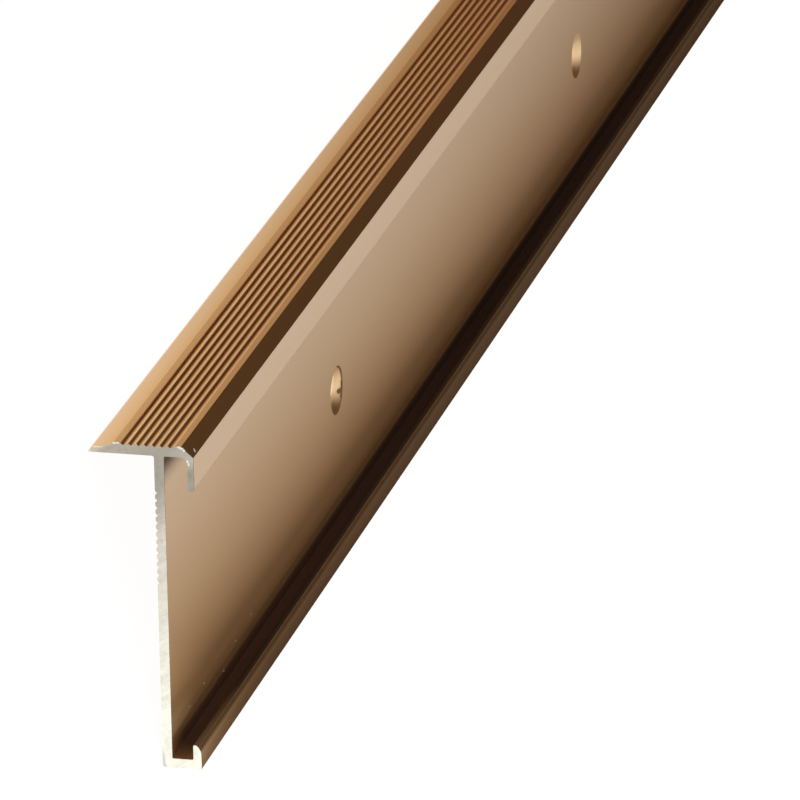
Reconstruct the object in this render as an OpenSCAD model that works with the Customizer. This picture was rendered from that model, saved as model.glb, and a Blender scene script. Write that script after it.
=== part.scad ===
// Stair nosing: one aluminium extrusion with a grooved tread flange, a drop lip and a channel at its foot.
// It lies on its back on the floor, so it rests on the tip of the tread flange and the heel of the web.
// Sizes are in millimetres. In the section, x runs to the front and y up, from the corner of the stair step.

/* [Stock] */
// length the extrusion is cut to
length = 900; // [300:5:3000]
// overall height of the section
height = 50; // [42:0.5:70]

/* [Tread flange] */
// reach of the flange behind the back of the web
tread_reach = 9.8; // [8:0.1:25]
// thickness of the flange at its ridges
tread_t = 1.65; // [1.4:0.05:3]
// thickness of the rear tip
tip_t = 0.2; // [0.1:0.05:0.5]
// width of the curved ramp behind the ridges
ramp_w = 3.7; // [2:0.1:5]
// radius of the curved ramp
ramp_r = 12; // [6:0.5:40]
// step from the ramp up to the first ridge
ridge_step = 0.23; // [0.05:0.01:0.4]
// distance between neighbouring grooves
groove_pitch = 1.17; // [1.05:0.01:2]
// width of the grooves
groove_w = 0.95; // [0.6:0.05:1]
// depth of the grooves
groove_depth = 0.27; // [0.15:0.01:0.3]
// width of the first ridge, behind the grooves
first_ridge = 1; // [0.4:0.05:2]

/* [Nose] */
// width of the smooth land in front of the grooves
nose_land = 0.85; // [0.5:0.05:3]
// width of the sloped nose
slope_w = 2; // [1:0.1:2.6]
// height of the sloped nose
slope_h = 1.6; // [0.8:0.05:1.8]
// depth of the bay in front of the web
bay_depth = 4.4; // [3.2:0.1:8]
// thickness of the drop lip
lip_t = 1; // [0.8:0.05:1.4]
// drop of the lip below the flange
lip_drop = 5.2; // [3:0.1:9]
// radius inside the corner of the drop lip
lip_fillet = 0.85; // [0.3:0.05:1.2]

/* [Web] */
// thickness of the web
web_t = 1.5; // [1.2:0.05:3]
// radius inside the corner behind the web
corner_fillet = 0.35; // [0.1:0.05:1]
// radius inside the other corners
small_fillet = 0.2; // [0.1:0.05:0.4]
// drop from the flange to the first glue key in the back
key_drop = 5.7; // [3:0.1:12]
// height of the band of glue keys
key_band = 14.5; // [6:0.5:17]
// distance between neighbouring glue keys
key_pitch = 1.16; // [0.9:0.02:2]
// depth of the glue keys
key_depth = 0.33; // [0.15:0.01:0.4]

/* [Foot] */
// thickness of the foot
foot_t = 1.45; // [1.2:0.05:3]
// thickness of the channel lip
channel_lip_t = 1.25; // [0.9:0.05:2]
// height of the channel lip above the foot
channel_lip_h = 2.3; // [1.7:0.1:5]
// radius of the outer shoulder of the channel lip
shoulder_r = 1.9; // [1.7:0.05:3]
// height of the outer shoulder of the channel lip
shoulder_h = 1.55; // [0.6:0.05:1.6]
// radius of the heel, where the web meets the foot
heel_r = 0.4; // [0.1:0.05:1]
// radius of the toe, at the front of the foot
toe_r = 0.15; // [0.05:0.05:0.6]

/* [Screw holes] */
// distance between neighbouring screw holes
hole_pitch = 174; // [100:1:400]
// least distance from an end to a screw hole
hole_margin = 60; // [30:5:100]
// drop from the flange to the centre of the screw holes
hole_drop = 26; // [20:0.5:30]
// diameter of the screw holes
hole_d = 5.5; // [3.5:0.1:8]
// length of the straight wall behind the countersink
hole_land = 0.4; // [0.1:0.05:0.8]

/* [Hidden] */
$fn = 64;
metal = [0.56, 0.43, 0.29];
// how far a cutter runs past the face it opens
over = 0.5;
front_x = web_t + bay_depth;
web_drop = height - tread_t;
// corner at the top of the curved ramp
ramp_x = ramp_w - tread_reach;
ramp_y = tread_t - ridge_step;
// centre of the curved ramp, which runs from the tip to that corner
ramp_rise = ramp_y - tip_t;
ramp_chord = norm([ramp_w, ramp_rise]);
ramp_sag = sqrt(ramp_r * ramp_r - ramp_chord * ramp_chord / 4) / ramp_chord;
ramp_cx = ramp_x - ramp_w / 2 + ramp_rise * ramp_sag;
ramp_cy = ramp_y - ramp_rise / 2 - ramp_w * ramp_sag;
// grooves fill the run between the first ridge and the land
slope_x = front_x - slope_w;
last_groove = slope_x - nose_land - groove_w / 2;
groove_run = last_groove - ramp_x - first_ridge - groove_w / 2;
groove_count = floor(groove_run / groove_pitch) + 1;
groove_r = (groove_w * groove_w / 4 + groove_depth * groove_depth) / (2 * groove_depth);
key_count = floor(key_band / key_pitch) + 1;
channel_tip = foot_t + channel_lip_h - web_drop;
// screw holes are spread evenly about the middle of the length
hole_count = floor((length - 2 * hole_margin) / hole_pitch) + 1;
sink_h = web_t - hole_land;
// lean that brings the tip of the flange and the heel to the floor together
rest_dx = tread_reach + heel_r;
rest_dy = web_drop - heel_r;
lean = atan2(rest_dx, rest_dy) - asin(heel_r / norm([rest_dx, rest_dy]));
// corners that reach furthest to either side once it lies on its back
side_far = tread_t * cos(lean) - ramp_x * sin(lean);
toe_x = front_x - toe_r;
toe_y = toe_r - web_drop;
side_near = toe_y * cos(lean) - toe_x * sin(lean) - toe_r;
mid_y = (side_far + side_near) / 2;
floor_z = -tread_reach * cos(lean);

// what a fillet of radius r leaves of a corner at the origin that faces the directions sx and sy
module corner(r, sx, sy) {
    difference() {
        translate([min(0, sx * r), min(0, sy * r)])
            square(r);
        translate([sx * r, sy * r])
            circle(r);
    }
}

// notch with sides at 45 degrees, centred on a face
module notch(depth) {
    rotate(45)
        square(depth * sqrt(2), center = true);
}

module tread_flange() {
    difference() {
        union() {
            intersection() {
                translate([-tread_reach, 0])
                    square([ramp_w, ramp_y]);
                translate([ramp_cx, ramp_cy])
                    circle(ramp_r);
            }
            translate([ramp_x, 0])
                square([front_x - ramp_x, tread_t]);
        }
        for (i = [0 : groove_count - 1])
            translate([last_groove - i * groove_pitch, tread_t + groove_r - groove_depth])
                circle(groove_r);
    }
}

module drop_lip() {
    translate([front_x - lip_t, lip_t / 2 - lip_drop])
        square([lip_t, lip_drop + tread_t - slope_h - lip_t / 2]);
    translate([front_x - lip_t / 2, lip_t / 2 - lip_drop])
        circle(lip_t / 2);
    translate([front_x - lip_t, 0])
        corner(lip_fillet, -1, -1);
}

module web() {
    difference() {
        translate([0, -web_drop])
            square([web_t, web_drop]);
        for (i = [0 : key_count - 1])
            translate([0, -key_drop - i * key_pitch])
                notch(key_depth);
    }
    corner(corner_fillet, -1, -1);
    translate([web_t, 0])
        corner(small_fillet, 1, -1);
}

module channel_lip() {
    difference() {
        intersection() {
            translate([front_x - channel_lip_t, -web_drop])
                square([channel_lip_t, foot_t + channel_lip_h]);
            union() {
                translate([front_x - shoulder_r, channel_tip - shoulder_h])
                    circle(shoulder_r);
                translate([front_x - channel_lip_t, -web_drop])
                    square([channel_lip_t, foot_t + channel_lip_h - shoulder_h]);
            }
        }
        translate([front_x - channel_lip_t, channel_tip])
            corner(small_fillet, 1, -1);
    }
}

module foot() {
    translate([0, -web_drop])
        square([front_x, foot_t]);
    translate([web_t, foot_t - web_drop])
        corner(small_fillet, 1, 1);
    translate([front_x - channel_lip_t, foot_t - web_drop])
        corner(small_fillet, -1, 1);
}

module section() {
    difference() {
        union() {
            tread_flange();
            drop_lip();
            web();
            channel_lip();
            foot();
        }
        // sloped nose
        polygon([
            [slope_x, tread_t],
            [front_x, tread_t - slope_h],
            [front_x + over, tread_t - slope_h],
            [front_x + over, tread_t + over],
            [slope_x, tread_t + over],
        ]);
        translate([0, -web_drop])
            corner(heel_r, 1, 1);
        translate([front_x, -web_drop])
            corner(toe_r, -1, 1);
    }
}

// countersunk hole through the web, along x
module screw_hole() {
    rotate([0, 90, 0]) {
        translate([0, 0, -over])
            cylinder(d = hole_d, h = web_t + 2 * over);
        translate([0, 0, hole_land])
            cylinder(d1 = hole_d, d2 = hole_d + 2 * (sink_h + over), h = sink_h + over);
    }
}

module nosing() {
    color(metal)
        translate([0, -mid_y, -floor_z])
        rotate([lean, 0, 0])
        rotate([0, -90, 0])
        difference() {
            linear_extrude(length, center = true)
                section();
            for (i = [0 : hole_count - 1])
                translate([0, -hole_drop, (i - (hole_count - 1) / 2) * hole_pitch])
                    screw_hole();
        }
}

nosing();
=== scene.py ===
import math

import bmesh
import bpy
from mathutils import Matrix, Vector, noise


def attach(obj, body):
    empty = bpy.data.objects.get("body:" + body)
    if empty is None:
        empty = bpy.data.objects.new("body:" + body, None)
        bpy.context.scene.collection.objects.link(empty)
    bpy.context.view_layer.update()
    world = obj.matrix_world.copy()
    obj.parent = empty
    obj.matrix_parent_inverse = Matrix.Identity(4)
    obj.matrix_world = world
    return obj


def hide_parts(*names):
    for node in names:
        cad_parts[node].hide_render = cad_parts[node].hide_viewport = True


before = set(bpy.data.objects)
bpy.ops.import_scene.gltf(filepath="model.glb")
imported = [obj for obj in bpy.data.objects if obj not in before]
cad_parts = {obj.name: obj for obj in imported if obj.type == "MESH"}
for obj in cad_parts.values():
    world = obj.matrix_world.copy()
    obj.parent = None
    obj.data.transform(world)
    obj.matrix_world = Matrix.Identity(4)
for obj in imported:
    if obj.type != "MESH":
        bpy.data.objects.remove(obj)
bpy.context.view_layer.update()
scene = bpy.context.scene

# Sizes of the section in millimetres. In the section, x runs to the front and y up.
# They are those of the part's source, apart from the land in front of the grooves, which is 0.2 mm wider
# here, and the slope, which is as much narrower, as in the photo.
LENGTH = 900.0
HEIGHT = 50.0
REACH = 9.8
TREAD_T = 1.65
TIP_T = 0.2
RAMP_W = 3.7
RAMP_R = 12.0
RIDGE_STEP = 0.23
GROOVE_PITCH = 1.17
GROOVE_W = 0.95
GROOVE_DEPTH = 0.27
GROOVES = 7
NOSE_LAND = 1.05
SLOPE_W = 1.8
SLOPE_H = 1.6
BAY = 4.4
LIP_T = 1.0
LIP_DROP = 5.2
LIP_FILLET = 0.85
WEB_T = 1.5
CORNER_FILLET = 0.35
SMALL_FILLET = 0.2
KEY_DROP = 5.7
KEYS = 13
KEY_PITCH = 1.16
KEY_DEPTH = 0.33
FOOT_T = 1.45
CHANNEL_LIP_T = 1.25
CHANNEL_LIP_H = 2.3
SHOULDER_R = 1.9
SHOULDER_H = 1.55
HEEL_R = 0.4
TOE_R = 0.15
HOLE_PITCH = 174.0
HOLES = 5
HOLE_DROP = 26.0
HOLE_D = 5.5
HOLE_LAND = 0.4
MM = 0.001

# fine rounding of the edges, which the part's source leaves sharp
TIP_R = 0.04
TIP_TOP_R = 0.05
KEY_EDGE_R = 0.06
KEY_ROOT_R = 0.05
SHOULDER_EDGE_R = 0.1
SLOPE_FOOT_R = 0.08
SLOPE_TOP_R = 0.1
STEP_TOP_R = 0.06
STEP_FOOT_R = 0.05
CUT_EDGE = 0.02

# places along the length and in the section
NEAR = -LENGTH / 2
FIRST_HOLE = LENGTH / 2 - (HOLES - 1) / 2 * HOLE_PITCH
FRONT = WEB_T + BAY
WEB_DROP = HEIGHT - TREAD_T
FOOT_TOP = FOOT_T - WEB_DROP
CHANNEL_TIP = FOOT_TOP + CHANNEL_LIP_H
CHANNEL_LIP_X = FRONT - CHANNEL_LIP_T
DROP_LIP_X = FRONT - LIP_T
SLOPE_X = FRONT - SLOPE_W
LAST_GROOVE = SLOPE_X - NOSE_LAND - GROOVE_W / 2
RAMP_X = RAMP_W - REACH

# the lean that brings the tip of the flange and the heel to the floor together
REST_DX = REACH + HEEL_R
REST_DY = WEB_DROP - HEEL_R
LEAN = math.atan2(REST_DX, REST_DY) - math.asin(HEEL_R / math.hypot(REST_DX, REST_DY))
COS, SIN = math.cos(LEAN), math.sin(LEAN)
SIDE_FAR = TREAD_T * COS - RAMP_X * SIN
SIDE_NEAR = (TOE_R - WEB_DROP) * COS - (FRONT - TOE_R) * SIN - TOE_R
MID_Y = (SIDE_FAR + SIDE_NEAR) / 2
FLOOR_Z = -REACH * COS

ALONG, ACROSS, UP = (1, 0, 0), (0, 1, 0), (0, 0, 1)


def place(along, x, y):
    """Row-frame point of a section point at a place along the length, from millimetres to metres."""
    return Vector((along, y * COS - x * SIN - MID_Y, x * COS + y * SIN - FLOOR_Z)) * MM


def direction(x, along, y):
    """Row-frame direction of a vector given to the front, along the length and up the section."""
    return Vector((along, y * COS - x * SIN, x * COS + y * SIN))


# geometry

# order of the materials on the piece
SKIN, SAWN, HOLE, BURR, CHIP = range(5)
HOLE_SIDES = 72
# arc numbers of the holes' walls, above those of the section
HOLE_ARC = 1000
# edges within one arc that turn by less than this are smooth
SMOOTH_ANGLE = 0.5


def fillet(a, b, c, r, steps):
    """Points of the arc of radius r that rounds the corner b between a and c."""
    a, b, c = Vector(a), Vector(b), Vector(c)
    p, q = (a - b).normalized(), (c - b).normalized()
    half = math.acos(max(-1, min(1, p.dot(q)))) / 2
    back = r / math.tan(half)
    start, end = b + p * back, b + q * back
    centre = b + (p + q).normalized() * (r / math.sin(half))
    a0 = math.atan2(*(start - centre).yx)
    a1 = math.atan2(*(end - centre).yx)
    turn = (a1 - a0 + math.pi) % (2 * math.pi) - math.pi
    return arc(centre.x, centre.y, r, a0, a0 + turn, steps)


def arc(cx, cy, r, a0, a1, steps):
    """Points of an arc, from angle a0 to angle a1."""
    angles = [a0 + (a1 - a0) * i / steps for i in range(steps + 1)]
    return [(cx + r * math.cos(a), cy + r * math.sin(a)) for a in angles]


def back_and_foot():
    """Corners and arcs from the tip of the flange down the back and round the foot to the channel."""
    path = [(-REACH, 0, TIP_R, 3), (0, 0, CORNER_FILLET, 8)]
    for i in range(KEYS):
        y = -KEY_DROP - i * KEY_PITCH
        path += [
            (0, y + KEY_DEPTH, KEY_EDGE_R, 4),
            (KEY_DEPTH, y, KEY_ROOT_R, 4),
            (0, y - KEY_DEPTH, KEY_EDGE_R, 4),
        ]
    path += [(0, -WEB_DROP, HEEL_R, 8), (FRONT, -WEB_DROP, TOE_R, 5)]
    # the shoulder's arc stops short of its edge, which is rounded
    top = math.asin(SHOULDER_H / SHOULDER_R)
    shoulder_x = FRONT - SHOULDER_R
    path += [
        arc(shoulder_x, CHANNEL_TIP - SHOULDER_H, SHOULDER_R, 0, 0.93 * top, 12),
        (shoulder_x + SHOULDER_R * math.cos(top), CHANNEL_TIP, SHOULDER_EDGE_R, 4),
        (CHANNEL_LIP_X, CHANNEL_TIP, SMALL_FILLET, 5),
        (CHANNEL_LIP_X, FOOT_TOP, SMALL_FILLET, 5),
        (WEB_T, FOOT_TOP, SMALL_FILLET, 5),
    ]
    return path


def bay_and_nose():
    """Corners and arcs from the top of the web round the drop lip to the top of the slope."""
    return [
        (WEB_T, 0, SMALL_FILLET, 5),
        (DROP_LIP_X, 0, LIP_FILLET, 12),
        arc(FRONT - LIP_T / 2, LIP_T / 2 - LIP_DROP, LIP_T / 2, math.pi, 2 * math.pi, 16),
        (FRONT, TREAD_T - SLOPE_H, SLOPE_FOOT_R, 4),
        (SLOPE_X, TREAD_T, SLOPE_TOP_R, 5),
    ]


def ridges():
    """Arcs of the grooves and the worn crests between them, all of one radius, from front to rear."""
    swing = 2 * math.atan(2 * GROOVE_DEPTH / GROOVE_PITCH)
    r = GROOVE_PITCH / 4 / math.sin(swing)
    # neighbouring arcs stop just short of each other
    reach = 0.98 * swing
    gap = 0.02
    up, down = math.pi / 2, -math.pi / 2
    crest_y, groove_y = TREAD_T - r, TREAD_T - GROOVE_DEPTH + r
    path = []
    for i in range(GROOVES):
        x = LAST_GROOVE - i * GROOVE_PITCH
        path += [
            arc(x + GROOVE_PITCH / 2, crest_y, r, up, up + reach, 8),
            arc(x, groove_y, r, down + reach, down - reach, 12),
            arc(x - GROOVE_PITCH / 2, crest_y, r, up - reach, up - gap, 8),
        ]
    return path


def ramp():
    """Corners and arc from the step behind the ridges down the curved ramp to the tip of the flange."""
    top = TREAD_T - RIDGE_STEP
    rise = top - TIP_T
    chord = math.hypot(RAMP_W, rise)
    sag = math.sqrt(RAMP_R**2 - chord**2 / 4) / chord
    cx, cy = RAMP_X - RAMP_W / 2 + rise * sag, top - rise / 2 - RAMP_W * sag
    a0 = math.atan2(top - cy, RAMP_X - cx)
    sweep = math.atan2(TIP_T - cy, -REACH - cx) - a0
    # the arc stays clear of the roundings at its ends
    return [
        (RAMP_X, TREAD_T, STEP_TOP_R, 4),
        (RAMP_X, top, STEP_FOOT_R, 4),
        arc(cx, cy, RAMP_R, a0 + 0.03 * sweep, a0 + 0.98 * sweep, 16),
        (-REACH, TIP_T, TIP_TOP_R, 3),
    ]


def section():
    """Outline of the section as (x, y, group) points.

    The segments of one arc share a group number above zero.
    """
    # corners as (x, y, radius, steps), or ready-made arcs as lists of points
    path = back_and_foot() + bay_and_nose() + ridges() + ramp()

    def ends(item):
        return (item[0], item[-1]) if isinstance(item, list) else (item[:2], item[:2])

    points = []
    for i, item in enumerate(path):
        if isinstance(item, list):
            run = item
        else:
            before = ends(path[i - 1])[1]
            after = ends(path[(i + 1) % len(path)])[0]
            run = fillet(before, item[:2], after, item[2], item[3])
        points += [(x, y, i + 1 if j + 1 < len(run) else 0) for j, (x, y) in enumerate(run)]
    return points


def inset(points, depth):
    """The outline moved inwards."""
    out = []
    for i in range(len(points)):
        a, b, c = (Vector(points[(i + step) % len(points)][:2]) for step in (-1, 0, 1))
        t = ((b - a).normalized() + (c - b).normalized()).normalized()
        out.append((b.x - t.y * depth, b.y + t.x * depth))
    return out


def bare_edge(points, seed):
    """Width of the bare, ragged edge that the saw left at an end, for each point of the outline."""
    # mean and least width, and the height of its broad and its fine waves
    mean, least, broad, fine = 0.06, 0.025, 0.05, 0.03
    # where it is wider, as limits of x, limits of y and added width
    far = math.inf
    torn = [
        # end of the first ridge, edge of the ramp
        ((-6.4, -5.2), (TREAD_T - 0.3, far), 0.28),
        ((-far, -6.3), (0.15, far), 0.10),
        # top of the slope, inner corner of the drop lip
        ((3.4, 4.5), (1.2, far), 0.25),
        ((4.2, 4.95), (-1, 0.02), 0.28),
    ]
    widths = []
    for x, y, _ in points:
        w = mean + broad * noise.noise(Vector((x * 2.1, y * 2.1, seed)))
        w += fine * noise.noise(Vector((x * 9, y * 9, seed + 7)))
        for (x0, x1), (y0, y1), more in torn:
            if x0 < x < x1 and y0 < y < y1:
                w += more
        widths.append(max(w, least))
    return widths


def add_lumps(bm):
    """Uneven small lumps: bright burrs, a nick and specks near the end, and a chip at the first hole."""
    # place along from the end and in the section, then half sizes, all in the order along, x, y
    bright = [
        # end of the first ridge, edge of the ramp
        ((0.02, -5.85, 1.60), (0.14, 0.26, 0.13)),
        ((0.05, -5.40, 1.63), (0.20, 0.30, 0.11)),
        ((0.00, -8.40, 0.85), (0.07, 0.75, 0.07)),
        # top of the slope
        ((0.00, 3.80, 1.58), (0.12, 0.28, 0.13)),
        ((0.02, 4.15, 1.40), (0.16, 0.28, 0.15)),
        ((0.00, 4.50, 1.12), (0.10, 0.20, 0.16)),
        # inner corner of the drop lip
        ((0.00, 5.00, -0.50), (0.09, 0.17, 0.24)),
        ((0.00, 5.18, -0.92), (0.09, 0.15, 0.32)),
        # nick in the slope
        ((2.50, 5.34, 0.50), (0.12, 0.09, 0.08)),
        ((2.30, 5.48, 0.39), (0.15, 0.11, 0.09)),
        ((2.10, 5.62, 0.28), (0.12, 0.08, 0.07)),
        # specks on the web
        ((46.7, WEB_T, -42.2), (0.16, 0.03, 0.08)),
        ((37.3, WEB_T, -42.9), (0.18, 0.03, 0.09)),
        ((30.0, WEB_T, -44.9), (0.14, 0.03, 0.08)),
        ((18.8, WEB_T, -42.5), (0.16, 0.03, 0.08)),
        ((9.9, WEB_T, -42.7), (0.14, 0.03, 0.07)),
    ]
    dark = [
        ((FIRST_HOLE + 3.05, 1.02, -27.3), (0.28, 0.26, 0.34)),
        ((FIRST_HOLE + 3.30, 1.20, -27.2), (0.30, 0.24, 0.40)),
        ((FIRST_HOLE + 3.55, 1.38, -27.1), (0.22, 0.14, 0.45)),
        ((FIRST_HOLE + 3.70, 1.42, -26.2), (0.16, 0.10, 0.60)),
        ((FIRST_HOLE + 3.20, 1.40, -28.0), (0.18, 0.10, 0.45)),
    ]
    for i, (spot, size) in enumerate(bright + dark):
        lump = bmesh.ops.create_icosphere(bm, subdivisions=3, radius=1.0)["verts"]
        for v in lump:
            rough = 1 + 0.5 * noise.noise(v.co * 1.6 + Vector((0, 0, 9.0 * i)))
            along, x, y = (s + h * c * rough for s, h, c in zip(spot, size, v.co))
            v.co = place(NEAR + along, x, y)
        for f in {f for v in lump for f in v.link_faces}:
            f.material_index = BURR if i < len(bright) else CHIP


def hole_profile():
    """Radius and section x of a screw hole's wall, from the back of the web to its front."""
    sink = WEB_T - HOLE_LAND
    r0, r1 = HOLE_D / 2, HOLE_D / 2 + sink
    return [
        # broken edge and straight wall
        (r0 + 0.03, 0.0),
        (r0, 0.03),
        (r0, HOLE_LAND),
        # countersink and its rounded rim
        (r0 + sink / 2, HOLE_LAND + sink / 2),
        (r1 - 0.07, WEB_T - 0.07),
        (r1 - 0.015, WEB_T - 0.025),
        (r1 + 0.05, WEB_T),
    ]


def holed_sides(points):
    """Numbers of the outline's segments that the holes go through, at the front and the back of the web."""
    sides = {}
    for i, a in enumerate(points):
        b = points[(i + 1) % len(points)]
        if math.isclose(a[0], WEB_T, abs_tol=1e-6) and math.isclose(b[0], WEB_T, abs_tol=1e-6):
            sides["front"] = i
        if max(abs(a[0]), abs(b[0])) < 1e-6 and b[1] < -HOLE_DROP < a[1]:
            sides["back"] = i
    return sides


def add_walls(bm, group, points, loops, left_open):
    """Faces between the loops of the two ends, and the ends themselves."""
    n = len(points)
    for s in range(3):
        long_run = s == 1
        for i in range(n):
            if long_run and i in left_open:
                continue
            j = (i + 1) % n
            f = bm.faces.new((loops[s][i], loops[s][j], loops[s + 1][j], loops[s + 1][i]))
            f[group] = points[i][2] if long_run else 0
            f.material_index = SKIN if long_run else SAWN
    for loop in (loops[0], loops[3]):
        f = bm.faces.new(loop)
        f.material_index = SAWN


def add_holes(bm, group):
    """Walls of the screw holes. Gives the loops of their rims at the front and the back of the web."""
    rims = {"front": [], "back": []}
    angles = [2 * math.pi * i / HOLE_SIDES for i in range(HOLE_SIDES)]
    for h in range(HOLES):
        cx = (h - (HOLES - 1) / 2) * HOLE_PITCH
        rings = []
        for r, x in hole_profile():
            ring = [place(cx + r * math.cos(a), x, r * math.sin(a) - HOLE_DROP) for a in angles]
            rings.append([bm.verts.new(p) for p in ring])
        for a, b in zip(rings, rings[1:]):
            for i in range(HOLE_SIDES):
                j = (i + 1) % HOLE_SIDES
                f = bm.faces.new((a[i], a[j], b[j], b[i]))
                f[group] = HOLE_ARC + h
                f.material_index = HOLE
        rims["back"].append(rings[0])
        rims["front"].append(rings[-1])
    return rims


def fill_around(bm, loops):
    """Flat face inside the first loop and outside the others."""
    edges = []
    for loop in loops:
        for i in range(len(loop)):
            ends = loop[i], loop[(i + 1) % len(loop)]
            edges.append(bm.edges.get(ends) or bm.edges.new(ends))
    bmesh.ops.triangle_fill(bm, use_beauty=True, use_dissolve=False, edges=edges)


def build_nosing():
    """The whole extrusion as one mesh, with its holes, sawn ends and lumps."""
    points = section()
    bm = bmesh.new()
    group = bm.faces.layers.int.new("arc")
    cut = inset(points, CUT_EDGE)
    near, far = bare_edge(points, seed=3.0), bare_edge(points, seed=11.0)
    loops = [
        [bm.verts.new(place(NEAR, *p)) for p in cut],
        [bm.verts.new(place(NEAR + w, *p[:2])) for p, w in zip(points, near)],
        [bm.verts.new(place(-NEAR - w, *p[:2])) for p, w in zip(points, far)],
        [bm.verts.new(place(-NEAR, *p)) for p in cut],
    ]
    holed = holed_sides(points)
    add_walls(bm, group, points, loops, holed.values())
    rims = add_holes(bm, group)
    for name, i in holed.items():
        j = (i + 1) % len(points)
        outer = [loops[1][i], loops[1][j], loops[2][j], loops[2][i]]
        fill_around(bm, [outer] + rims[name])
    bmesh.ops.recalc_face_normals(bm, faces=bm.faces)
    for e in bm.edges:
        if len(e.link_faces) == 2:
            a, b = e.link_faces
            e.smooth = a[group] == b[group] and a[group] > 0 and e.calc_face_angle() < SMOOTH_ANGLE
    add_lumps(bm)
    for f in bm.faces:
        f.smooth = True
    mesh = bpy.data.meshes.new("nosing_body")
    bm.to_mesh(mesh)
    bm.free()
    mesh.attributes.remove(mesh.attributes["arc"])
    obj = bpy.data.objects.new("nosing_body", mesh)
    scene.collection.objects.link(obj)
    return obj


# materials

class Nodes:
    """Short ways to add nodes to a tree. An input is a number, a colour or another node's output."""

    def __init__(self, tree):
        self.tree = tree

    def add(self, kind, inputs=None, **settings):
        node = self.tree.nodes.new(kind)
        for key, value in settings.items():
            setattr(node, key, value)
        self.feed(node, inputs or {})
        return node

    def feed(self, node, inputs):
        for key, value in inputs.items():
            self.put(node.inputs[key], value)

    def put(self, socket, value):
        if isinstance(value, bpy.types.NodeSocket):
            self.tree.links.new(value, socket)
        else:
            socket.default_value = value

    def math(self, operation, a, b=0.0, c=0.0):
        return self.add("ShaderNodeMath", {0: a, 1: b, 2: c}, operation=operation).outputs[0]

    def times(self, first, *others):
        for other in others:
            first = self.math("MULTIPLY", first, other)
        return first

    def scaled(self, vector, scale):
        return self.add("ShaderNodeVectorMath", {0: vector, 1: scale}, operation="MULTIPLY").outputs[0]

    def dot(self, vector, axis):
        node = self.add("ShaderNodeVectorMath", {0: vector, 1: axis}, operation="DOT_PRODUCT")
        return node.outputs["Value"]

    def here(self):
        """Place in the object's own frame, in metres."""
        return self.add("ShaderNodeTexCoord").outputs["Object"]

    def noise(self, vector, scale=1.0, detail=2.0, rough=0.5):
        inputs = {"Vector": vector, "Scale": scale, "Detail": detail, "Roughness": rough}
        return self.add("ShaderNodeTexNoise", inputs).outputs["Fac"]

    def span(self, value, a, b, c=0.0, d=1.0, smooth=False):
        """From c to d while the value goes from a to b."""
        inputs = {"Value": value, "From Min": a, "From Max": b, "To Min": c, "To Max": d}
        kind = "SMOOTHSTEP" if smooth else "LINEAR"
        return self.add("ShaderNodeMapRange", inputs, interpolation_type=kind).outputs[0]

    def band(self, value, low, rise, fall, high):
        """One from rise to fall, and zero below low and above high."""
        return self.times(self.span(value, low, rise), self.span(value, high, fall))

    def mix(self, fac, a, b):
        node = self.add("ShaderNodeMix", data_type="RGBA")
        for key, value in (("Factor_Float", fac), ("A_Color", a), ("B_Color", b)):
            if isinstance(value, tuple):
                value = (*value, 1.0)
            self.put(next(s for s in node.inputs if s.identifier == key), value)
        return next(s for s in node.outputs if s.identifier == "Result_Color")

    def ramp(self, fac, stops):
        node = self.add("ShaderNodeValToRGB", {"Fac": fac})
        band = node.color_ramp
        while len(band.elements) < len(stops):
            band.elements.new(0.5)
        for element, (position, color) in zip(band.elements, stops):
            element.position = position
            element.color = (*color, 1.0)
        return node.outputs["Color"]


def new_material(name):
    """Material with one shader, as the material, its nodes and that shader."""
    material = bpy.data.materials.new(name)
    material.use_nodes = True
    tree = material.node_tree
    return material, Nodes(tree), tree.nodes["Principled BSDF"]


def section_place(k, here):
    """Section coordinates of a point in millimetres: x to the front and y up."""
    x = k.math("MULTIPLY_ADD", k.dot(here, direction(1, 0, 0)), 1 / MM, COS * FLOOR_Z - SIN * MID_Y)
    y = k.math("MULTIPLY_ADD", k.dot(here, direction(0, 0, 1)), 1 / MM, COS * MID_Y + SIN * FLOOR_Z)
    return x, y


def place_along(k, here):
    """Distance of a point from the near end, in millimetres."""
    return k.math("MULTIPLY_ADD", k.dot(here, ALONG), 1 / MM, -NEAR)


def at_foot(k, y):
    """One at the foot and its channel lip, and zero at the drop lip and the flange."""
    return k.span(y, CHANNEL_TIP + 4, CHANNEL_TIP + 3)


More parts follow.
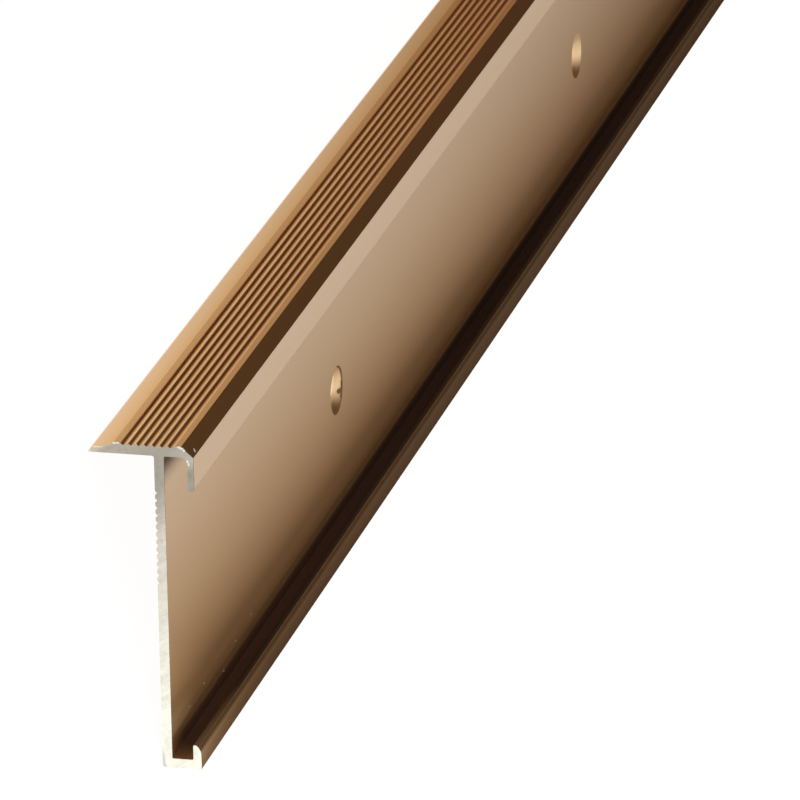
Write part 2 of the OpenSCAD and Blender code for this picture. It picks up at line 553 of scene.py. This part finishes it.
def skin_layers(k, here):
    """Thin layers on the skin, the lowest first, each as its mask and its colour: specks of dust, dust on
    the channel lip's inner face, a paler tone on its shoulder near the end, and painted shade and painted
    light.
    """
    x, y = section_place(k, here)
    along = place_along(k, here)
    tip, lip_x, lip_end = CHANNEL_TIP, CHANNEL_LIP_X, -LIP_DROP
    # specks of dust
    cells = k.add("ShaderNodeTexVoronoi", {"Vector": here, "Scale": 330.0})
    picked = k.span(k.dot(cells.outputs["Color"], (1, 0, 0)), 0.80, 0.82)
    near = k.span(cells.outputs["Distance"], 0.05, 0.02)
    patch = k.span(k.noise(here, scale=30.0), 0.50, 0.56)
    specks = k.times(picked, near, patch, 0.6)
    # front of the web: painted shade under the flange, and painted shade low down that fades out above the
    # channel
    on_web = k.times(k.band(x, WEB_T - 0.2, WEB_T - 0.1, WEB_T + 0.1, WEB_T + 0.2), k.span(y, 0.3, 0.1))
    shade = k.times(on_web, k.span(y, -4.8, -1.0, 0.0, 0.81))
    web_foot_shade = k.times(
        on_web,
        k.band(y, tip - 0.4, tip + 1.2, tip + 3.5, tip + 7.0),
        k.span(along, 0, 14, 0.78, 0.45),
        k.span(along, 60, 260, 1.0, 0.75),
    )
    # painted light along the lower edge of the drop lip
    lip_edge_light = k.times(
        k.span(x, DROP_LIP_X - 0.1, DROP_LIP_X),
        k.band(y, lip_end - 0.4, lip_end - 0.3, lip_end + 0.3, lip_end + 0.6),
        0.8,
    )
    # channel lip: dust on its inner face, a paler tone on its shoulder at the near end, and painted shade
    # on its rim
    above_sole = k.span(y, FOOT_TOP - 0.9, FOOT_TOP - 0.5)
    inner = k.times(
        k.band(x, lip_x - 0.3, lip_x - 0.02, lip_x + 0.06, lip_x + 0.12),
        above_sole,
        k.span(y, tip - 0.1, tip - 0.3),
    )
    shoulder = k.times(
        k.span(x, lip_x + 0.3, lip_x + 0.5),
        k.span(y, tip - 0.8, tip - 0.3),
        at_foot(k, y),
        k.span(along, 0, 22, 0.3, 0.0),
    )
    rim = k.times(
        k.band(x, lip_x - 0.3, lip_x - 0.1, lip_x + 0.75, lip_x + 0.95),
        at_foot(k, y),
        k.span(y, tip - 0.65, tip - 0.4),
        k.span(along, 0, 25, 0.83, 1.0),
    )
    # painted shade on the floor of the channel and the foot of the web
    channel_shade = k.times(
        k.span(x, WEB_T - 0.2, WEB_T - 0.1),
        k.span(x, lip_x - 0.1, lip_x - 1.2, smooth=True),
        above_sole,
        k.span(y, tip + 1.3, tip - 0.65, smooth=True),
        k.span(along, 0, 6, 0.75, 1.0),
    )
    return [
        (specks, (0.72, 0.64, 0.52)),
        (shade, (0.095, 0.044, 0.017)),
        (lip_edge_light, (0.80, 0.56, 0.37)),
        (web_foot_shade, (0.36, 0.24, 0.13)),
        (inner, (0.40, 0.29, 0.18)),
        (shoulder, (0.45, 0.38, 0.30)),
        (rim, (0.03, 0.014, 0.006)),
        (channel_shade, k.mix(k.span(along, 20, 200), (0.078, 0.034, 0.017), (0.040, 0.017, 0.009))),
    ]


def skin_tints(k, here):
    """Places where the bronze skin has another tone, each as its mask and its colour: painted highlights on
    the crests, and painted shade in the grooves, on the slope far along and on the turn of the channel lip.
    """
    x, y = section_place(k, here)
    along = place_along(k, here)
    # painted highlights on the crests and painted shade in the grooves, by the place between one groove and
    # the next
    rear = LAST_GROOVE - (GROOVES - 0.5) * GROOVE_PITCH
    front = LAST_GROOVE + GROOVE_PITCH / 2
    ridged = k.times(
        k.band(x, rear + 0.03, rear + 0.13, front - 0.16, front + 0.09),
        k.span(y, TREAD_T - 2 * GROOVE_DEPTH, TREAD_T - 1.5 * GROOVE_DEPTH),
    )
    # whole pitches are added so that the number stays above zero
    wave = k.math("FRACT", k.math("MULTIPLY_ADD", x, 1 / GROOVE_PITCH, 10 - LAST_GROOVE / GROOVE_PITCH))
    crest_highlight = k.times(ridged, k.band(wave, 0.02, 0.22, 0.58, 0.68), k.span(along, 125, 260, 1.0, 0.2))
    groove_shade = k.times(ridged, k.band(wave, 0.58, 0.72, 0.9, 1.0))
    # painted shade on the slope of the nose, deeper along the length
    on_slope = k.times(k.span(x, SLOPE_X - 0.05, SLOPE_X + 0.05), k.span(y, 0.02, 0.05))
    slope = k.times(on_slope, k.span(along, 40, 200, 0.0, 0.35))
    # painted shade on the turn of the channel lip
    turn = k.times(
        k.span(x, CHANNEL_LIP_X + 0.3, CHANNEL_LIP_X + 0.6),
        k.band(y, CHANNEL_TIP - 2.4, CHANNEL_TIP - 1.0, CHANNEL_TIP - 0.85, CHANNEL_TIP - 0.25),
        k.span(along, 0, 200, 0.22, 0.55),
    )
    from_end = k.span(along, 2, 20)
    return [
        (crest_highlight, k.mix(from_end, (1.0, 0.77, 0.46), (1.0, 0.72, 0.40))),
        (groove_shade, k.mix(from_end, (1.0, 0.38, 0.09), (0.84, 0.22, 0.01))),
        (slope, (0.27, 0.015, 0.0)),
        (turn, (0.10, 0.06, 0.03)),
    ]


def bronze_material():
    """Bronze anodised skin: satin metal with lines from the die, with painted highlights and shade in its
    tones, under thin layers of dust and of painted shade and light.
    """
    material, k, shader = new_material("bronze_anodised")
    here = k.here()
    lines = k.noise(k.scaled(here, (3, 2600, 2600)), detail=3)
    broad = k.noise(k.scaled(here, (5, 60, 60)), detail=2)
    tone = k.math("ADD", k.times(lines, 0.4), k.times(broad, 0.6))
    color = k.ramp(tone, [(0.3, (0.77, 0.395, 0.14)), (0.7, (0.83, 0.43, 0.16))])
    for mask, tint in skin_tints(k, here):
        color = k.mix(mask, color, tint)
    # a thin layer tints the metal before it hides its shine
    clean = 1.0
    for mask, tint in skin_layers(k, here):
        color = k.mix(mask, color, tint)
        clean = k.times(clean, k.math("MULTIPLY_ADD", mask, k.times(mask, -1.0), 1.0))
    bump = k.add("ShaderNodeBump", {"Strength": 0.05, "Distance": 0.00002, "Height": lines})
    k.feed(shader, {
        "Base Color": color,
        "Metallic": clean,
        "Roughness": k.span(clean, 0.0, 1.0, 0.6, k.span(tone, 0.3, 0.7, 0.32, 0.37)),
        "Specular IOR Level": 0.1,
        "Normal": bump.outputs[0],
        "Coat Weight": k.times(clean, clean, 0.5),
        "Coat Roughness": 0.22,
        "Coat IOR": 1.65,
    })
    return material


def sawn_material():
    """Bare aluminium, cut with a saw: slanted marks and blotches in broad bands, and a darker drop lip."""
    material, k, shader = new_material("sawn_aluminium")
    here = k.here()
    slant = math.radians(32)
    across = k.dot(here, direction(-math.sin(slant), 0, math.cos(slant)))
    along = k.dot(here, direction(math.cos(slant), 0, math.sin(slant)))
    flat = k.add("ShaderNodeCombineXYZ", {"X": across, "Y": along}).outputs[0]
    bands = k.noise(k.scaled(flat, (700, 160, 1)), detail=3, rough=0.6)
    marks = k.noise(k.scaled(flat, (5200, 260, 1)), detail=2)
    blots = k.noise(flat, scale=1100.0, detail=3, rough=0.65)
    tone = k.math("ADD", k.times(bands, 0.45), k.math("ADD", k.times(marks, 0.2), k.times(blots, 0.35)))
    x, y = section_place(k, here)
    lip = k.times(
        k.span(x, DROP_LIP_X - 0.2, DROP_LIP_X + 0.2),
        k.span(y, -0.5, -2.5, 0.0, 0.6),
        k.span(y, -LIP_DROP - 3.8, -LIP_DROP - 2.8),
    )
    color = k.ramp(tone, [(0.34, (0.60, 0.565, 0.51)), (0.66, (0.84, 0.81, 0.75))])
    bump = k.add("ShaderNodeBump", {"Strength": 0.35, "Distance": 0.00004, "Height": tone})
    k.feed(shader, {
        "Base Color": k.mix(lip, color, (0.26, 0.24, 0.21)),
        "Metallic": 1.0,
        "Roughness": k.span(tone, 0.3, 0.7, 0.34, 0.24),
        "Normal": bump.outputs[0],
    })
    return material


def hole_material():
    """Anodised wall of a countersunk hole, with rings from the tool, and painted shade low down.

    The first hole has a darker rim as well.
    """
    material, k, shader = new_material("hole_wall")
    here = k.here()
    depth = k.dot(here, direction(1, 0, 0))
    rings = k.noise(k.add("ShaderNodeCombineXYZ", {"X": depth}).outputs[0], scale=7000.0, detail=2)
    patch = k.noise(here, scale=900.0)
    tone = k.math("ADD", k.times(rings, 0.5), k.times(patch, 0.5))
    skin = k.ramp(tone, [(0.3, (0.99, 0.67, 0.34)), (0.7, (1.0, 0.735, 0.41))])
    x, y = section_place(k, here)
    # painted shade low down in the hole
    low = k.span(y, -HOLE_DROP - 0.5, -HOLE_DROP - 3.4, smooth=True)
    first = k.span(place_along(k, here), FIRST_HOLE + HOLE_PITCH / 2, FIRST_HOLE + HOLE_PITCH / 3)
    rim = k.times(k.span(x, WEB_T - 0.28, WEB_T - 0.16), first)
    bump = k.add("ShaderNodeBump", {"Strength": 0.25, "Distance": 0.00003, "Height": rings})
    k.feed(shader, {
        "Base Color": k.mix(rim, k.mix(low, skin, (0.27, 0.125, 0.045)), (0.30, 0.14, 0.045)),
        "Metallic": 0.45,
        "Roughness": k.span(tone, 0.3, 0.7, 0.36, 0.44),
        "Normal": bump.outputs[0],
        "Coat Weight": 0.4,
        "Coat Roughness": 0.2,
        "Coat IOR": 1.6,
    })
    return material


def burr_material():
    """Torn bright aluminium that scatters the light."""
    material, k, shader = new_material("bright_burr")
    grain = k.noise(k.here(), scale=6000.0)
    k.feed(shader, {
        "Base Color": k.ramp(grain, [(0.3, (0.90, 0.88, 0.84)), (0.7, (0.98, 0.97, 0.94))]),
        "Metallic": 0.15,
        "Roughness": 0.45,
    })
    return material


def chip_material():
    """Dark chip of swarf."""
    material, k, shader = new_material("swarf")
    grain = k.noise(k.here(), scale=3000.0)
    k.feed(shader, {
        "Base Color": k.ramp(grain, [(0.3, (0.16, 0.075, 0.022)), (0.7, (0.24, 0.12, 0.04))]),
        "Roughness": 0.5,
    })
    return material


nosing = build_nosing()
for make in (bronze_material, sawn_material, hole_material, burr_material, chip_material):
    nosing.data.materials.append(make())
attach(nosing, "root")
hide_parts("nosing")


# floor and light

# half the side of the floor, in metres
FLOOR_HALF = 30
# height of the cards that lie on the floor, in millimetres
CARD_Z = 0.4
PALE = (0.82, 0.82, 0.82)


def level(x0, x1, y0, y1, z):
    """Corners of a level rectangle."""
    return [(x0, y0, z), (x1, y0, z), (x1, y1, z), (x0, y1, z)]


def upright(x0, x1, y, z0, z1):
    """Corners of an upright rectangle along x."""
    return [(x0, y, z0), (x1, y, z0), (x1, y, z1), (x0, y, z1)]


def sheet(name, corners, material):
    """Flat stage piece from four corners in metres."""
    mesh = bpy.data.meshes.new(name)
    mesh.from_pydata(corners, [], [(0, 1, 2, 3)])
    mesh.materials.append(material)
    obj = bpy.data.objects.new(name, mesh)
    scene.collection.objects.link(obj)
    return obj


def floor_material():
    """White ground that keeps only a trace of a shadow, as in the photo."""
    material, k, shader = new_material("floor")
    k.feed(shader, {
        "Base Color": (0.05, 0.05, 0.05, 1),
        "Roughness": 0.9,
        "Specular IOR Level": 0.1,
        "Emission Color": (1, 1, 1, 1),
        "Emission Strength": 0.965,
    })
    return material


def card(name, corners, slopes, filters=False):
    """Sheet that only reflections see: of light, or as a filter. Its colour is the product of its slopes.

    A slope is an axis with stops, each a place along that axis and a colour. Places are in millimetres.
    """
    material = bpy.data.materials.new(name)
    material.use_nodes = True
    tree = material.node_tree
    tree.nodes.clear()
    k = Nodes(tree)
    here = k.here()
    color = None
    for axis, stops in slopes:
        low, high = stops[0][0], stops[-1][0]
        fac = k.span(k.dot(here, axis), low * MM, high * MM)
        slope = k.ramp(fac, [((at - low) / (high - low), tint) for at, tint in stops])
        color = k.scaled(color, slope) if color else slope
    kind = "ShaderNodeBsdfTransparent" if filters else "ShaderNodeEmission"
    k.add("ShaderNodeOutputMaterial", {"Surface": k.add(kind, {"Color": color}).outputs[0]})
    material.cycles.emission_sampling = "NONE"
    obj = sheet(name, [Vector(c) * MM for c in corners], material)
    for flag in ("camera", "diffuse", "transmission", "volume_scatter", "shadow"):
        setattr(obj, "visible_" + flag, False)


sheet("floor", level(-FLOOR_HALF, FLOOR_HALF, -FLOOR_HALF, FLOOR_HALF, 0), floor_material())

# darkens what the web and the lips mirror, most of all low down and far along
card("front_card", upright(NEAR + 1, 1200, -26.5, 0.5, 40), [
    (UP, [
        (4, (0.052, 0.033, 0.020)),
        (7, (0.105, 0.068, 0.042)),
        (13, (0.52, 0.40, 0.30)),
        (21, (0.82, 0.73, 0.60)),
        (33, (1, 1, 1)),
    ]),
    (ALONG, [
        (NEAR, (3.8, 4.6, 5.0)),
        (NEAR + 12, (2.2, 2.5, 2.7)),
        (NEAR + 25, (1.4, 1.5, 1.5)),
        (NEAR + 45, (0.97, 0.98, 1)),
        (NEAR + 160, (0.85, 0.86, 0.88)),
        (NEAR + 240, (0.79, 0.79, 0.81)),
        (NEAR + 370, (0.62, 0.61, 0.62)),
        (NEAR + 700, (0.4, 0.4, 0.4)),
    ]),
], filters=True)

# what the near end mirrors
card("end_card", level(-650, NEAR - 0.3, -150, 150, CARD_Z), [
    (ACROSS, [
        (-22, (1.36, 1.39, 1.30)),
        (-10, (1.20, 1.21, 1.13)),
        (0, (0.91, 0.90, 0.85)),
        (5, (1.10, 1.06, 0.99)),
        (8.5, (0.25, 0.225, 0.195)),
        (11, (0.22, 0.20, 0.17)),
        (16, (0.42, 0.385, 0.34)),
        (22, (0.60, 0.56, 0.50)),
    ]),
])

# what the tread flange and the slope mirror
card("side_card", level(-600, 1600, 24, 300, CARD_Z), [
    (ACROSS, [
        (26, (0.84, 0.84, 0.70)),
        (30, (0.87, 0.82, 0.56)),
        (36, (0.62, 0.52, 0.34)),
        (60, (0.62, 0.52, 0.37)),
        (160, (0.9, 0.84, 0.72)),
    ]),
    (ALONG, [
        (NEAR, (1, 1, 1)),
        (NEAR + 130, (0.73, 0.68, 0.62)),
        (NEAR + 260, (0.44, 0.34, 0.245)),
        (NEAR + 330, (0.36, 0.24, 0.15)),
    ]),
])


def lobe(k, way, axis, full, none):
    """One around an axis, falling to zero between two angles in degrees."""
    angles = (math.cos(math.radians(none)), math.cos(math.radians(full)))
    return k.span(k.dot(way, Vector(axis).normalized()), *angles, smooth=True)


def add_world():
    """Pale even light. Reflections see it dark towards the far end, with one bright window."""
    world = bpy.data.worlds.new("studio")
    scene.world = world
    world.use_nodes = True
    world.cycles.sampling_method = "NONE"
    k = Nodes(world.node_tree)
    way = k.add("ShaderNodeTexCoord").outputs["Generated"]
    mirrored = k.mix(k.span(k.dot(way, ALONG), 0.0, 0.5, smooth=True), PALE, (0.066, 0.048, 0.029))
    window = lobe(k, way, (0.914, -0.376, 0.153), 10, 18)
    mirrored = k.mix(window, mirrored, (0.97, 1.06, 1.03))
    glossy = k.add("ShaderNodeLightPath").outputs["Is Glossy Ray"]
    k.feed(world.node_tree.nodes["Background"], {"Color": k.mix(glossy, PALE, mirrored), "Strength": 1.0})


def add_camera():
    """Camera at the photo's place relative to the near end."""
    focal_px = 8870.8
    picture_px = 800
    data = bpy.data.cameras.new("camera")
    data.sensor_width = 36.0
    data.lens = focal_px / picture_px * data.sensor_width
    data.clip_end = 200
    eye = place(NEAR - 1156.651, 321.415, 441.124)
    right = direction(0.972408, 0.232556, -0.018281)
    ahead = direction(-0.224803, 0.913309, -0.339623)
    turn = Matrix((right, right.cross(ahead), -ahead)).transposed()
    cam = bpy.data.objects.new("camera", data)
    scene.collection.objects.link(cam)
    cam.matrix_world = Matrix.Translation(eye) @ turn.to_4x4()
    scene.camera = cam


add_world()
add_camera()
scene.view_settings.view_transform = "Standard"
